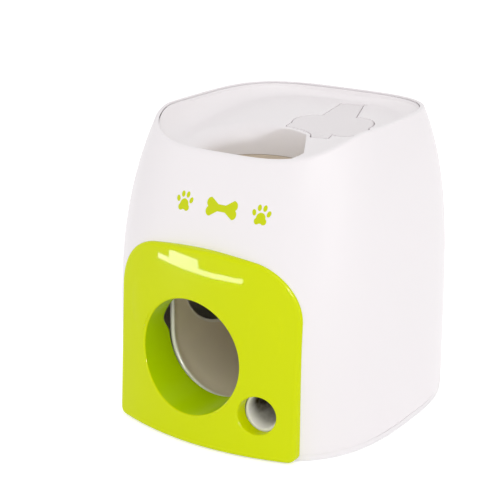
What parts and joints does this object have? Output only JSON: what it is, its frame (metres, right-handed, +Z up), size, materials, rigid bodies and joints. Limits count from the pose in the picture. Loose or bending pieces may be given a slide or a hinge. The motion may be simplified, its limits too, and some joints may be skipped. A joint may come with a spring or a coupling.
{
  "type": "ball-return treat dispenser",
  "caption": "Rounded white pet toy casing with a dished top ball well, lidded treat hopper, lime front panel with ball tunnel and treat outlet, and a tripped portion drum inside.",
  "frame": {"origin": "on the floor under the middle of the whole box", "axes": "+Z up, -Y towards the front panel, +X to the right as seen from the front"},
  "size_m": [0.1964, 0.2154, 0.201],
  "materials": {
    "white_gloss": "glossy injection-moulded ABS, faint warm white",
    "tray_white": "satin-gloss white ABS",
    "base_white": "fine-textured white ABS",
    "lime_gloss": "glossy lime ABS",
    "cream_plastic": "satin cream ABS",
    "acetal": "natural acetal",
    "steel": "ground steel rod",
    "spring_steel": "drawn spring steel",
    "zinc_screw": "zinc-plated steel",
    "rubber_grey": "soft grey elastomer"
  },
  "bodies": {
    "casing": {"outer_shell": "white_gloss", "front_bezel": "lime_gloss", "base_plate": "base_white", "rubber_feet": "rubber_grey", "top_tray": "tray_white", "lid_hinge_pin": "steel", "drop_tube": "cream_plastic", "ball_scoop": "cream_plastic", "shaft_bushings": "acetal", "return_spring": "spring_steel", "axle_bushings": "acetal", "drum_housing": "cream_plastic", "housing_cap": "cream_plastic", "drum_wiper": "rubber_grey", "treat_hopper": "cream_plastic", "treat_chute": "tray_white", "base_screws": "zinc_screw", "scoop_screws": "zinc_screw", "chute_screws": "zinc_screw", "tray_screws": "zinc_screw", "bezel_screws": "zinc_screw", "hopper_screws": "zinc_screw", "housing_screws": "zinc_screw", "cap_screws": "zinc_screw"},
    "lid": {"treat_lid": "tray_white"},
    "paddle": {"trip_paddle": "lime_gloss", "paddle_shaft": "steel", "gear_sector": "acetal", "shaft_clips": "spring_steel"},
    "drum": {"portion_drum": "lime_gloss", "drum_axle": "steel", "drum_pinion": "acetal", "axle_clips": "spring_steel"}
  },
  "joints": [
    {"name": "lid_hinge", "type": "hinge", "parent": "casing", "child": "lid", "pos_m": [0.00966, 0.07145, 0.19025], "axis": [-0.9796, -0.1999, -0.0216], "range_deg": [0, 85]},
    {"name": "paddle_swing", "type": "hinge", "parent": "casing", "child": "paddle", "pos_m": [0.044, 0, 0.096], "axis": [0, -1, 0], "range_deg": [0, 65], "stiffness_Nm_per_rad": 0.004, "springref_deg": -114.59, "deforming": ["return_spring"]},
    {"name": "drum_turn", "type": "hinge", "parent": "casing", "child": "drum", "pos_m": [0.0685, 0, 0.11438], "axis": [0, -1, 0], "range_deg": [-181, 1]}
  ],
  "couplings": [
    {"joint": "drum_turn", "follows": "paddle_swing", "ratio": -2.7692}
  ]
}
